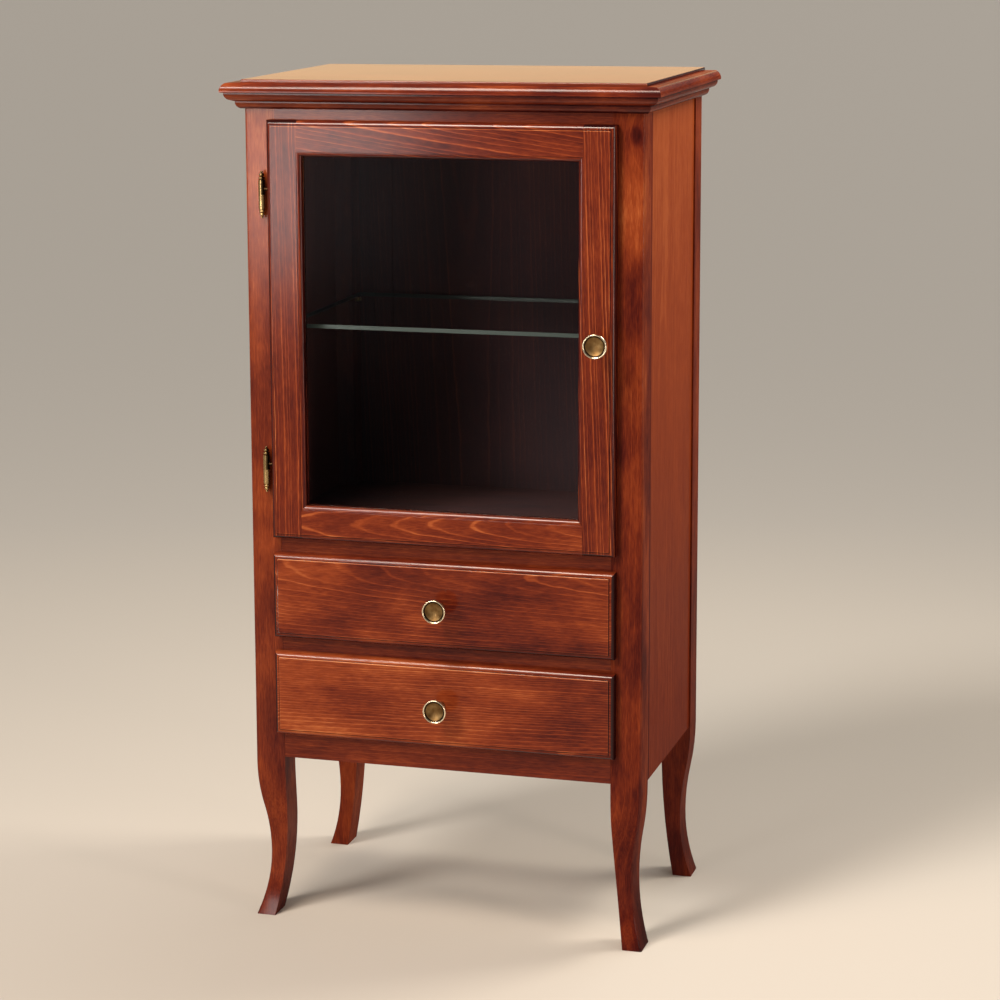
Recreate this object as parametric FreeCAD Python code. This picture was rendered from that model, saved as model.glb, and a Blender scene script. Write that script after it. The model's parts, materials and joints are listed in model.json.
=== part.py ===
import FreeCAD, Part
import math
import os

# A glazed cupboard on four shaped legs: one glass door above two drawers.
# Lengths are in millimetres. +X is the viewer's right, +Y the back, +Z up.
# Pieces are drawn with the front of the posts at Y = 0 and X = 0 in the middle.
# Each one is then moved so that the origin is on the floor, at the middle of the
# box round the whole cupboard, from the knobs to the back.

# Carcass
carcass_width = 600.0
carcass_depth = 395.0
post_side = 46.0
post_arris_radius = 3.0

# Heights in the order in which they stand on each other
apron_height = 254.0
bottom_rail_height = 50.5
lower_opening_height = 108.0
drawer_rail_height = 42.5
upper_opening_height = 109.5
middle_rail_height = 43.5
door_opening_height = 603.5
frieze_rail_height = 50.5
top_panel_thickness = 18.0

# Shaped leg below the apron
knee_drop = 8.0
waist_height = 98.0
waist_inset = 15.5
knee_share = 0.5
foot_spread = 3.0
inner_curve_height = 215.0
foot_taper = 19.5

# Rails and their joints
rail_thickness = 22.0
tenon_length = 20.0
tenon_thickness = 10.0
tenon_shoulder = 6.0
tenon_setback = 6.0
joint_clearance = 0.1
joint_end_space = 0.5

# Side panels, back panel and top
panel_recess = 2.5
side_panel_thickness = 16.0
side_panel_drop = 7.5
panel_tongue_thickness = 8.0
panel_tongue_length = 8.0
back_panel_thickness = 6.0
back_rebate_width = 10.0
top_overhang = 4.0
top_edge_radius = 2.0
dowel_radius = 4.0
dowel_length = 30.0
dowel_inset = 15.0
dowel_depth_in_top = 11.0

# Cornice moulding
cornice_height = 38.0
cornice_reach = 29.0
cornice_setdown = 4.5
cornice_start_share = (0.16, 0.0)
cornice_shares = (
    ((0.31, 0.09), (0.38, 0.25)),
    (0.38, 0.28),
    (0.56, 0.33),
    ((0.75, 0.42), (0.83, 0.58)),
    (0.83, 0.62),
    (1.0, 0.645),
    ((0.925, 0.885), (0.74, 1.0)),
)

# Cupboard floor, shelf and the bearers under them
floor_thickness = 16.0
floor_tongue_thickness = 6.0
floor_tongue_length = 7.0
bearer_reach = 18.0
rear_middle_rail_height = 40.0
shelf_top_height = 917.0
shelf_thickness = 6.0
shelf_side_gap = 1.5
shelf_front_setback = 6.0
shelf_back_gap = 7.0
shelf_pin_setback = 15.0
shelf_pin_radius = 2.5
shelf_pin_depth = 12.0
shelf_pin_head_radius = 4.0
shelf_pin_head_length = 8.0
shelf_pin_flat = 1.5

# Drawer runners and stops
runner_thickness = 20.0
guide_height = 20.0
guide_setback = 0.8
stop_width = 60.0
stop_length = 45.0
stop_height = 30.0
stop_drop = 6.0

# Door and drawer fronts, which lie over the front of the carcass
front_gap = 0.3
front_thickness = 18.0
side_overlay = 8.5
lip_overlay = 10.0
edge_radius = 7.0
edge_step = 1.3
edge_quirk = 1.0

# Door frame, glass and beads
stile_width = 54.5
door_rail_width = 52.0
sticking_width = 7.0
sticking_depth = 5.0
sticking_step = 1.2
glass_lip = 8.0
glass_thickness = 4.0
glass_edge_gap = 1.0
bead_gap = 0.2
door_tenon_length = 30.0
door_tenon_thickness = 6.0
door_tenon_setback = 6.0
door_tenon_shoulder = 10.0
door_tenon_inner_shoulder = 5.0

# Drill-in hinges
hinge_side_gap = 10.0
hinge_axis_offset = 7.6
lower_hinge_rise = 103.0
upper_hinge_drop = 109.5
hinge_barrel_radius = 5.0
hinge_barrel_length = 42.0
hinge_split_gap = 0.3
hinge_pin_radius = 2.6
hinge_pin_length = 36.0
hinge_running_clearance = 0.05
hinge_stem_radius = 2.4
hinge_stem_depth = 24.0
hinge_stem_rise = 8.0
finial_length = 14.0
finial_shares = (
    (1.0, 0.04),
    (0.62, 0.1),
    (0.62, 0.17),
    ((1.0, 0.26), (0.62, 0.35)),
    (0.4, 0.41),
    ((0.82, 0.58), (0.36, 0.75)),
    (0.24, 0.79),
    ((0.42, 0.86), (0.36, 0.93)),
)
finial_crown_share = 1.0

# Drawer boxes
box_side_clearance = 1.0
running_gap = 0.3
box_side_thickness = 12.0
box_back_thickness = 12.0
box_bottom_thickness = 5.0
box_bottom_rise = 8.0
box_bottom_groove = 5.0
box_back_space = 12.0
front_housing_depth = 6.0
back_housing_depth = 4.0
side_headroom = 10.0
back_headroom = 2.0

# Knobs and their screws
knob_radius = 18.0
knob_reach = 36.0
door_knob_offset = 6.0
knob_height_on_door_share = 0.503
knob_base_shares = (0.36, 0.0)
knob_shares = (
    (0.36, 0.05),
    ((0.31, 0.1), (0.27, 0.2)),
    (0.24, 0.42),
    ((0.42, 0.7), (0.9, 0.86)),
    (0.97, 0.89),
    ((1.0, 0.93), (0.97, 0.97)),
    ((0.93, 1.0), (0.88, 0.97)),
)
knob_dish_share = 0.83
knob_screw_radius = 2.0
knob_screw_clearance = 0.1
knob_screw_bite = 12.0
knob_screw_head_radius = 4.0
knob_screw_head_height = 2.4

# Small hardware
catch_length = 46.0
catch_depth = 15.0
catch_height = 14.0
catch_inset = 64.0
catch_lug_length = 8.0
catch_lug_height = 4.0
strike_length = 30.0
strike_height = 12.0
strike_thickness = 1.2
strike_prong_radius = 1.2
strike_prong_length = 8.0
screw_radius = 1.75
screw_length = 38.0
screw_head_radius = 3.6
screw_head_height = 2.4
small_screw_radius = 1.4
small_screw_length = 18.0
small_screw_head_radius = 2.8
small_screw_head_height = 1.8
screw_end_share = 0.22

# For every cut that runs past a face, and for turned pieces
overrun = 5.0
full_turn = 360.0

# Heights worked out from the stack above
lower_floor = apron_height + bottom_rail_height
lower_head = lower_floor + lower_opening_height
upper_floor = lower_head + drawer_rail_height
upper_head = upper_floor + upper_opening_height
door_floor = upper_head + middle_rail_height
door_head = door_floor + door_opening_height
carcass_top = door_head + frieze_rail_height
overall_height = carcass_top + top_panel_thickness
cornice_bottom = overall_height - cornice_setdown - cornice_height
floor_underside = door_floor - floor_thickness
side_panel_bottom = apron_height - side_panel_drop

# Planes worked out from the sizes above
half_width = carcass_width / 2
inner_half = half_width - post_side
panel_outer = half_width - panel_recess
panel_inner = panel_outer - side_panel_thickness
between_front = post_side
between_back = carcass_depth - post_side
rear_rail_back = carcass_depth - back_panel_thickness
rear_rail_front = rear_rail_back - rail_thickness
shelf_front = rail_thickness + shelf_front_setback
shelf_back = rear_rail_back - shelf_back_gap
front_back_face = -front_gap
front_face = -front_gap - front_thickness
front_half = inner_half + side_overlay
door_bottom = door_floor - lip_overlay
door_top = door_head + lip_overlay
sight_half = front_half - stile_width
sight_bottom = door_bottom + door_rail_width
sight_top = door_top - door_rail_width
face_half = sight_half + sticking_width
face_bottom = sight_bottom - sticking_width
face_top = sight_top + sticking_width
glass_front = front_face + glass_lip
glass_back = glass_front + glass_thickness
hinge_x = -front_half - hinge_side_gap
hinge_y = -hinge_axis_offset
hinge_heights = {
    "upper": door_top - upper_hinge_drop,
    "lower": door_bottom + lower_hinge_rise,
}
knob_tip = front_face - knob_reach
origin_depth = (carcass_depth + knob_tip) / 2
box_half = inner_half - box_side_clearance
box_back_end = rear_rail_front - box_back_space
drawer_travel = box_back_end - box_back_thickness - rail_thickness - stop_length


def vector(x, y, z):
    """A point or a direction."""
    return FreeCAD.Vector(x, y, z)


def box(low_x, high_x, low_y, high_y, low_z, high_z):
    """A block given by its lowest and highest corners."""
    corner = vector(low_x, low_y, low_z)
    return Part.makeBox(high_x - low_x, high_y - low_y, high_z - low_z, corner)


def rod(radius, length, start, direction):
    """A round bar from its start along a direction."""
    return Part.makeCylinder(radius, length, start, direction)


def face_of(place, start, steps):
    """A flat face inside an outline of 2D points, which place turns into 3D.

    A step is the next point, or a pair of points: one on an arc and the arc's end.
    """
    edges = []
    here = start
    for step in steps:
        if isinstance(step[0], tuple):
            middle, end = step
            edges.append(Part.Arc(place(*here), place(*middle), place(*end)).toShape())
        else:
            end = step
            edges.append(Part.LineSegment(place(*here), place(*end)).toShape())
        here = end
    if here != start:
        edges.append(Part.LineSegment(place(*here), place(*start)).toShape())
    return Part.Face(Part.Wire(edges))


def fused(pieces):
    """Touching pieces joined into one clean solid."""
    whole = pieces[0]
    for piece in pieces[1:]:
        whole = whole.fuse(piece)
    return whole.removeSplitter()


def cut_by(shape, cutters):
    """The shape less each cutter."""
    for cutter in cutters:
        shape = shape.cut(cutter)
    return shape


def other_side(shape):
    """The same piece on the other side of the middle."""
    return shape.mirror(vector(0, 0, 0), vector(1, 0, 0))


def to_rear(shape):
    """The same piece at the other end of the carcass's depth."""
    return shape.mirror(vector(0, carcass_depth / 2, 0), vector(0, 1, 0))


def scaled_steps(steps, across, along):
    """An outline's shares turned into lengths."""
    lengths = []
    for step in steps:
        if isinstance(step[0], tuple):
            lengths.append(tuple((u * across, v * along) for u, v in step))
        else:
            lengths.append((step[0] * across, step[1] * along))
    return lengths


def dome_step(rim, crown):
    """The arc from a rim to the axis of a turned piece, centred on that axis."""
    radius, along = rim
    centre = (radius ** 2 + along ** 2 - crown ** 2) / (2 * (along - crown))
    sphere = abs(crown - centre)
    half_turn = math.atan2(radius, abs(along - centre)) / 2
    way = math.copysign(1, crown - centre)
    middle = (sphere * math.sin(half_turn), centre + way * sphere * math.cos(half_turn))
    return (middle, (0, crown))


def turned(steps, crown, base, axis):
    """A turned piece. Outline points are a radius and a distance along the axis."""
    side = vector(1, 0, 0)

    def place(radius, along):
        return base + side * radius + axis * along

    last = steps[-1]
    rim = last[1] if isinstance(last[0], tuple) else last
    outline = steps + [dome_step(rim, crown)]
    return face_of(place, (0, 0), outline).revolve(base, axis, full_turn)


def countersunk(point, direction, radius, length, head_radius, head_height):
    """A countersunk screw whose head is flush with the surface at its point."""
    head = Part.makeCone(head_radius, radius, head_height, point, direction)
    return fused([head, rod(radius, length, point, direction)])


def wood_screw(point, direction):
    """A long screw that holds a bearer or a runner to a side panel."""
    return countersunk(point, direction, screw_radius, screw_length,
                       screw_head_radius, screw_head_height)


def small_screw(point, direction):
    """A short screw that holds the back panel or the catch."""
    return countersunk(point, direction, small_screw_radius, small_screw_length,
                       small_screw_head_radius, small_screw_head_height)


# Posts and legs

def s_curve(low, high, low_share):
    """Two arcs that join two points and stand upright at both of them."""
    rise = high[1] - low[1]
    shift = high[0] - low[0]
    turn = 2 * math.atan2(abs(shift), rise)
    radii = rise / math.sin(turn)
    low_radius = low_share * radii
    high_radius = radii - low_radius
    way = math.copysign(1, shift)

    def from_low(angle):
        return (low[0] + way * low_radius * (1 - math.cos(angle)),
                low[1] + low_radius * math.sin(angle))

    def from_high(angle):
        return (high[0] - way * high_radius * (1 - math.cos(angle)),
                high[1] - high_radius * math.sin(angle))

    joint = from_low(turn)
    return [(from_low(turn / 2), joint), (from_high(turn / 2), high)]


def inner_curve():
    """The arc that takes a leg's inner side out towards the foot."""
    across, drop = side_arc(foot_taper, inner_curve_height)
    return ((post_side - across, inner_curve_height - drop), (post_side - foot_taper, 0))


def side_arc(across, rise):
    """The middle of an arc that leaves the upright and reaches across in a rise."""
    radius = (rise ** 2 + across ** 2) / (2 * across)
    half_turn = math.asin(rise / radius) / 2
    return radius * (1 - math.cos(half_turn)), radius * math.sin(half_turn)


def outer_curve():
    """The curve of a leg's outer side, from the floor to the knee."""
    waist = (waist_inset, waist_height)
    across, drop = side_arc(waist_inset + foot_spread, waist_height)
    foot_step = ((waist_inset - across, waist_height - drop), waist)
    knee = (0, apron_height - knee_drop)
    return [foot_step] + s_curve(waist, knee, 1 - knee_share)


def sawn_from_front(low_y, high_y):
    """A left post and leg with its outline seen from the front."""
    def place(inset, height):
        return vector(inset - half_width, low_y, height)

    steps = outer_curve()
    steps += [(0, carcass_top), (post_side, carcass_top), (post_side, inner_curve_height)]
    steps += [inner_curve()]
    return face_of(place, (-foot_spread, 0), steps).extrude(vector(0, high_y - low_y, 0))


def sawn_from_side():
    """The room of the front left post and leg, as deep at the foot as at the top."""
    def place(inset, height):
        return vector(-half_width - foot_spread, inset, height)

    far = post_side + waist_inset + overrun
    steps = outer_curve() + [(0, carcass_top), (far, carcass_top), (far, 0)]
    room = vector(post_side + foot_spread, 0, 0)
    behind_face = face_of(place, (-foot_spread, 0), steps).extrude(room)
    behind_leg = behind_face.copy()
    behind_leg.translate(vector(0, post_side, 0))
    return behind_face.cut(behind_leg)


def round_arris(leg):
    """Rounds the arris that stands at the corner of the cupboard."""
    near = waist_inset + joint_clearance
    arris = []
    for edge in leg.Edges:
        middle = edge.valueAt((edge.FirstParameter + edge.LastParameter) / 2)
        if middle.x + half_width < near and middle.y < near:
            if edge.BoundBox.ZLength > joint_clearance:
                arris.append(edge)
    return leg.makeFillet(post_arris_radius, arris)


def panel_groove():
    """The groove in a front left post that holds the side panel's tongue."""
    middle = (panel_outer + panel_inner) / 2
    half = panel_tongue_thickness / 2 + joint_clearance
    depth = panel_tongue_length + joint_end_space
    return box(-middle - half, -middle + half, between_front - depth, between_front + overrun,
               side_panel_bottom, carcass_top + overrun)


def mortise(low_z, high_z, front_y):
    """The mortise in a left post for one rail's tenon."""
    low_y = front_y + tenon_setback - joint_clearance
    high_y = front_y + tenon_setback + tenon_thickness + joint_clearance
    return box(-inner_half - tenon_length - joint_end_space, -inner_half + overrun,
               low_y, high_y,
               low_z + tenon_shoulder - joint_clearance,
               high_z - tenon_shoulder + joint_clearance)


def shelf_pin_y(at_back):
    """Where a shelf pin stands, from the front of the posts."""
    if at_back:
        return shelf_back - shelf_pin_setback
    return shelf_front + shelf_pin_setback


def shelf_pin_hole(at_back):
    """The hole in a left post for a shelf pin."""
    centre = shelf_top_height - shelf_thickness - shelf_pin_head_radius + shelf_pin_flat
    start = vector(-inner_half + overrun, shelf_pin_y(at_back), centre)
    length = shelf_pin_depth + joint_end_space + overrun
    return rod(shelf_pin_radius, length, start, vector(-1, 0, 0))


def post_dowel_hole():
    """The hole in the top of the front left post for its dowel."""
    depth = dowel_length - dowel_depth_in_top
    start = vector(-half_width + dowel_inset, dowel_inset, carcass_top - depth)
    return rod(dowel_radius, depth + overrun, start, vector(0, 0, 1))


front_rails = {
    "frieze_rail": (door_head, carcass_top),
    "middle_rail": (upper_head, door_floor),
    "drawer_rail": (lower_head, upper_floor),
    "bottom_rail": (apron_height, lower_floor),
}
rear_rails = {
    "rear_top_rail": (door_head, carcass_top),
    "rear_middle_rail": (floor_underside - rear_middle_rail_height, floor_underside),
    "rear_bottom_rail": (apron_height, lower_floor),
}


def front_post():
    """The front left post and leg with its joints, but with no hinge holes."""
    cutters = [panel_groove(), shelf_pin_hole(False), post_dowel_hole()]
    cutters += [mortise(low, high, 0) for low, high in front_rails.values()]
    blank = sawn_from_front(-foot_spread, post_side + waist_inset).common(sawn_from_side())
    return cut_by(round_arris(blank), cutters)


def rear_post():
    """The rear left post and leg with its joints and the back panel's rebate."""
    rebate = box(-inner_half - back_rebate_width, -inner_half + overrun,
                 rear_rail_back, carcass_depth + overrun,
                 apron_height, carcass_top + overrun)
    cutters = [to_rear(panel_groove()), shelf_pin_hole(True), rebate]
    cutters += [to_rear(post_dowel_hole())]
    cutters += [mortise(low, high, rear_rail_front) for low, high in rear_rails.values()]
    return cut_by(to_rear(round_arris(sawn_from_front(0, post_side))), cutters)


def frame_stem_hole(height):
    """The hole in the hinge side's post for a hinge's stem."""
    start = vector(hinge_x, -overrun, height - hinge_stem_rise)
    radius = hinge_stem_radius + hinge_running_clearance
    return rod(radius, hinge_stem_depth + joint_end_space + overrun, start, vector(0, 1, 0))


# Rails and panels

def rail(low_z, high_z, front_y):
    """A rail between two posts with a tenon at each end."""
    body = box(-inner_half, inner_half, front_y, front_y + rail_thickness, low_z, high_z)
    tenon = box(-inner_half - tenon_length, inner_half + tenon_length,
                front_y + tenon_setback, front_y + tenon_setback + tenon_thickness,
                low_z + tenon_shoulder, high_z - tenon_shoulder)
    return fused([body, tenon])


def floor_groove():
    """The groove along the back of the middle rail for the floor's tongue."""
    middle = door_floor - floor_thickness / 2
    half = floor_tongue_thickness / 2 + joint_clearance
    return box(-inner_half - overrun, inner_half + overrun,
               rail_thickness - floor_tongue_length - joint_end_space, rail_thickness + overrun,
               middle - half, middle + half)


def rail_dowel_hole(centre_y):
    """The hole in a top rail for its dowel."""
    depth = dowel_length - dowel_depth_in_top
    return rod(dowel_radius, depth + overrun,
               vector(0, centre_y, carcass_top - depth), vector(0, 0, 1))


def side_panel():
    """The left side panel with a tongue along its front and back edges."""
    body = box(-panel_outer, -panel_inner, between_front, between_back,
               side_panel_bottom, carcass_top)
    middle = (panel_outer + panel_inner) / 2
    half = panel_tongue_thickness / 2
    tongue = box(-middle - half, -middle + half,
                 between_front - panel_tongue_length, between_back + panel_tongue_length,
                 side_panel_bottom, carcass_top)
    return cut_by(fused([body, tongue]), [wood_screw(*s) for s in side_screws])


def back_panel():
    """The thin panel let into the backs of the rear posts."""
    half = inner_half + back_rebate_width - joint_clearance
    panel = box(-half, half, rear_rail_back, carcass_depth, apron_height, carcass_top)
    return cut_by(panel, [small_screw(*s) for s in back_screws])


def top_panel():
    """The top board, which stands a little over the posts."""
    board = box(-half_width - top_overhang, half_width + top_overhang,
                -top_overhang, carcass_depth, carcass_top, overall_height)
    rim = [edge for edge in board.Edges
           if edge.BoundBox.ZMin > overall_height - joint_clearance
           and edge.BoundBox.YMin < between_back]
    board = board.makeFillet(top_edge_radius, rim)
    return cut_by(board, top_dowels())


def top_dowels():
    """Dowels that hold the top board to the posts and the top rails."""
    low = carcass_top - dowel_length + dowel_depth_in_top
    far = half_width - dowel_inset
    places = [(side * far, y) for side in (-1, 1)
              for y in (dowel_inset, carcass_depth - dowel_inset)]
    places += [(0, rail_thickness / 2), (0, rear_rail_front + rail_thickness / 2)]
    return [rod(dowel_radius, dowel_length, vector(x, y, low), vector(0, 0, 1))
            for x, y in places]


def cornice_outline():
    """The moulding's outline as overhang and height, with a rebate for the top board."""
    seat = carcass_top - cornice_bottom
    start = (0, 0)
    steps = scaled_steps((cornice_start_share,) + cornice_shares, cornice_reach, cornice_height)
    steps += [(top_overhang, cornice_height), (top_overhang, seat), (0, seat)]
    return start, steps


def cornice_front():
    """The front length of cornice, mitred at both ends."""
    def place(overhang, height):
        return vector(-half_width - cornice_reach, -overhang, cornice_bottom + height)

    start, steps = cornice_outline()
    length = carcass_width + 2 * cornice_reach
    moulding = face_of(place, start, steps).extrude(vector(length, 0, 0))

    def plan(x, y):
        return vector(x, y, cornice_bottom - overrun)

    far = cornice_reach + overrun
    steps = [(half_width, 0), (half_width + far, -far), (-half_width - far, -far)]
    kept = face_of(plan, (-half_width, 0), steps)
    return moulding.common(kept.extrude(vector(0, 0, cornice_height + 2 * overrun)))


def cornice_left():
    """The left length of cornice, mitred at the front and cut square at the back."""
    def place(overhang, height):
        return vector(-half_width - overhang, -cornice_reach, cornice_bottom + height)

    start, steps = cornice_outline()
    length = carcass_depth + cornice_reach
    moulding = face_of(place, start, steps).extrude(vector(0, length, 0))

    def plan(x, y):
        return vector(x, y, cornice_bottom - overrun)

    far = cornice_reach + overrun
    back = carcass_depth + overrun
    steps = [(-half_width, back), (-half_width - far, back), (-half_width - far, -far)]
    kept = face_of(plan, (-half_width, 0), steps)
    return moulding.common(kept.extrude(vector(0, 0, cornice_height + 2 * overrun)))


# Inside the carcass

def ledge(low_z, high_z):
    """The left ledge along a side: a strip between the rails, wider between the posts."""
    inner = box(-inner_half, -inner_half + bearer_reach, rail_thickness, rear_rail_front,
                low_z, high_z)
    outer = box(-panel_inner, -inner_half, between_front, between_back, low_z, high_z)
    return fused([inner, outer])


def screw_places(height):
    """The two screws through a left bearer or guide into the left side panel."""
    span = between_back - between_front
    return [(vector(-inner_half - guide_setback, between_front + share * span, height),
             vector(-1, 0, 0))
            for share in (screw_end_share, 1 - screw_end_share)]


def guide_height_of(floor):
    """The height of a guide's screws above a drawer opening's floor."""
    return floor + guide_height / 2


bearer_screw_height = (upper_head + floor_underside) / 2
side_screws = screw_places(bearer_screw_height)
side_screws += screw_places(guide_height_of(upper_floor))
side_screws += screw_places(guide_height_of(lower_floor))


def floor_bearer():
    """The left bearer under the cupboard floor, which keeps the upper drawer level."""
    body = ledge(upper_head, floor_underside)
    cutters = []
    for point, direction in screw_places(bearer_screw_height):
        cutters.append(wood_screw(point, direction))
        length = bearer_reach + guide_setback + overrun
        cutters.append(rod(screw_head_radius, length, point, -direction))
    return cut_by(body, cutters)


def runner(floor, ledge_bottom):
    """A left runner: a ledge under the drawer's side and a guide beside it."""
    guide = box(-panel_inner, -inner_half - guide_setback, between_front, between_back,
                floor, floor + guide_height)
    body = fused([ledge(ledge_bottom, floor), guide])
    return cut_by(body, [wood_screw(*s) for s in screw_places(guide_height_of(floor))])


def drawer_stop(head):
    """The block behind a rail that the drawer's back meets when it is pulled out."""
    low = head - stop_drop
    return box(-stop_width / 2, stop_width / 2, rail_thickness, rail_thickness + stop_length,
               low, low + stop_height)


def cupboard_floor():
    """The floor of the glazed part, notched round the posts."""
    wide = box(-panel_inner, panel_inner, between_front, between_back,
               floor_underside, door_floor)
    long = box(-inner_half, inner_half, rail_thickness, rear_rail_back,
               floor_underside, door_floor)
    middle = door_floor - floor_thickness / 2
    half = floor_tongue_thickness / 2
    tongue = box(-inner_half, inner_half, rail_thickness - floor_tongue_length, rail_thickness,
                 middle - half, middle + half)
    return fused([wide, long, tongue])


def glass_shelf():
    """The loose glass shelf."""
    half = inner_half - shelf_side_gap
    return box(-half, half, shelf_front, shelf_back,
               shelf_top_height - shelf_thickness, shelf_top_height)


def shelf_pin(at_back):
    """A left shelf pin, with its head filed flat under the glass."""
    y = shelf_pin_y(at_back)
    underside = shelf_top_height - shelf_thickness
    centre = underside - shelf_pin_head_radius + shelf_pin_flat
    shank = rod(shelf_pin_radius, shelf_pin_depth, vector(-inner_half, y, centre),
                vector(-1, 0, 0))
    head = rod(shelf_pin_head_radius, shelf_pin_head_length, vector(-inner_half, y, centre),
               vector(1, 0, 0))
    flat = box(-inner_half - overrun, -inner_half + shelf_pin_head_length + overrun,
               y - shelf_pin_head_radius, y + shelf_pin_head_radius,
               underside, underside + shelf_pin_flat + overrun)
    return fused([shank, head.cut(flat)])


# Magnetic catch at the top of the door

catch_centre = inner_half - catch_inset
catch_bottom = door_head - catch_height
catch_front = rail_thickness - catch_depth
catch_screw_offset = (catch_length - catch_lug_length) / 2
catch_screws = [(vector(catch_centre + side * catch_screw_offset,
                        catch_front + catch_depth / 2, door_head - catch_lug_height),
                 vector(0, 0, 1)) for side in (-1, 1)]
back_screws = [(vector(share * inner_half, carcass_depth, (low + high) / 2), vector(0, -1, 0))
               for low, high in rear_rails.values()
               for share in (screw_end_share - 1, 0, 1 - screw_end_share)]


def door_catch():
    """The catch's body with a fixing lug at each end."""
    half_body = catch_length / 2 - catch_lug_length
    body = box(catch_centre - half_body, catch_centre + half_body,
               catch_front, catch_front + catch_depth, catch_bottom, door_head)
    lugs = box(catch_centre - catch_length / 2, catch_centre + catch_length / 2,
               catch_front, catch_front + catch_depth, door_head - catch_lug_height, door_head)
    return cut_by(fused([body, lugs]), [small_screw(*s) for s in catch_screws])


def strike_plate():
    """The steel plate on the door that the magnet holds, with its prong."""
    middle = catch_bottom + catch_height / 2
    plate = box(catch_centre - strike_length / 2, catch_centre + strike_length / 2,
                front_back_face, front_back_face + strike_thickness,
                middle - strike_height / 2, middle + strike_height / 2)
    prong = rod(strike_prong_radius, strike_prong_length + strike_thickness,
                vector(catch_centre, front_back_face + strike_thickness, middle),
                vector(0, -1, 0))
    return fused([plate, prong])


# Moulded fronts

def edge_steps(low, high, back, face):
    """Across a front: up one moulded edge, over the face and down the other edge."""
    rim = face + edge_step + edge_radius
    shoulder = edge_radius + edge_quirk
    arc = edge_radius * (1 - math.sqrt(0.5))
    return (low, back), [
        (low, rim),
        ((low + arc, face + edge_step + arc), (low + edge_radius, face + edge_step)),
        (low + shoulder, face + edge_step),
        (low + shoulder, face),
        (high - shoulder, face),
        (high - shoulder, face + edge_step),
        (high - edge_radius, face + edge_step),
        ((high - arc, face + edge_step + arc), (high, rim)),
        (high, back),
    ]


def moulded_board(low_z, high_z):
    """A front as wide as the door, moulded round its edge and mitred at the corners."""
    def in_plan(x, y):
        return vector(x, y, low_z)

    def in_section(z, y):
        return vector(-front_half, y, z)

    start, steps = edge_steps(-front_half, front_half, front_back_face, front_face)
    plan = face_of(in_plan, start, steps).extrude(vector(0, 0, high_z - low_z))
    start, steps = edge_steps(low_z, high_z, front_back_face, front_face)
    section = face_of(in_section, start, steps).extrude(vector(2 * front_half, 0, 0))
    return plan.common(section)


def sticking_steps(low, high):
    """Across the glazed opening: down one moulded inner edge and up the other."""
    ahead = front_face - overrun
    behind = front_back_face + overrun
    step = front_face + sticking_step
    sight = front_face + sticking_depth
    arc = 1 - math.sqrt(0.5)
    inward = sticking_width * (1 - arc)
    bulge = sight - (sticking_depth - sticking_step) * (1 - arc)
    return (low - sticking_width, ahead), [
        (low - sticking_width, step),
        ((low - sticking_width + inward, bulge), (low, sight)),
        (low, behind),
        (high, behind),
        (high, sight),
        ((high + sticking_width - inward, bulge), (high + sticking_width, step)),
        (high + sticking_width, ahead),
    ]


def sight_cutter():
    """What is cut out of the door for the glass, with the moulding's shape."""
    def in_plan(x, y):
        return vector(x, y, door_bottom)

    def in_section(z, y):
        return vector(-front_half, y, z)

    start, steps = sticking_steps(-sight_half, sight_half)
    plan = face_of(in_plan, start, steps).extrude(vector(0, 0, door_top - door_bottom))
    start, steps = sticking_steps(sight_bottom, sight_top)
    section = face_of(in_section, start, steps).extrude(vector(2 * front_half, 0, 0))
    return plan.common(section)


def door_frame():
    """The door's whole frame before it is parted into stiles and rails."""
    rebate = box(-face_half, face_half, glass_front, front_back_face + overrun,
                 face_bottom, face_top)
    return cut_by(moulded_board(door_bottom, door_top), [sight_cutter(), rebate])


def stile_region():
    """The room that the right stile takes up, mitred where the moulding turns."""
    def place(x, z):
        return vector(x, front_face - overrun, z)

    low = door_bottom - overrun
    high = door_top + overrun
    outer = front_half + overrun
    steps = [(outer, low), (outer, high), (face_half, high), (face_half, face_top),
             (sight_half, sight_top), (sight_half, sight_bottom), (face_half, face_bottom)]
    region = face_of(place, (face_half, low), steps)
    return region.extrude(vector(0, front_thickness + 2 * overrun, 0))


def door_tenon(low_z, high_z, grow, spare):
    """The tenon of one door rail through to both stiles, or its mortises if grown."""
    reach = face_half + door_tenon_length + spare
    front = front_face + door_tenon_setback
    return box(-reach, reach, front - grow, front + door_tenon_thickness + grow,
               low_z - grow, high_z + grow)


door_tenons = {
    "door_top_rail": (face_top + door_tenon_inner_shoulder, door_top - door_tenon_shoulder),
    "door_bottom_rail": (door_bottom + door_tenon_shoulder,
                         face_bottom - door_tenon_inner_shoulder),
}
door_middle = (sight_bottom + sight_top) / 2
door_rail_rooms = {
    "door_top_rail": (door_middle, door_top + overrun),
    "door_bottom_rail": (door_bottom - overrun, door_middle),
}


def door_knob_x():
    """Where the knob stands, between the middle of the stile's face and its outer edge."""
    face_middle = (face_half + front_half - edge_radius - edge_quirk) / 2
    return face_middle + door_knob_offset


def door_knob_height():
    """The knob's height on the door."""
    return door_bottom + knob_height_on_door_share * (door_top - door_bottom)


def knob_hole(x, z):
    """The hole through a front for a knob's screw."""
    return rod(knob_screw_radius + knob_screw_clearance, front_thickness + 2 * overrun,
               vector(x, front_face - overrun, z), vector(0, 1, 0))


def door_stile(frame):
    """The right stile with its mortises."""
    mortises = [door_tenon(low, high, joint_clearance, joint_end_space)
                for low, high in door_tenons.values()]
    return cut_by(frame.common(stile_region()), mortises)


def knob_stile(frame):
    """The right stile with the knob's hole."""
    return door_stile(frame).cut(knob_hole(door_knob_x(), door_knob_height()))


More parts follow.
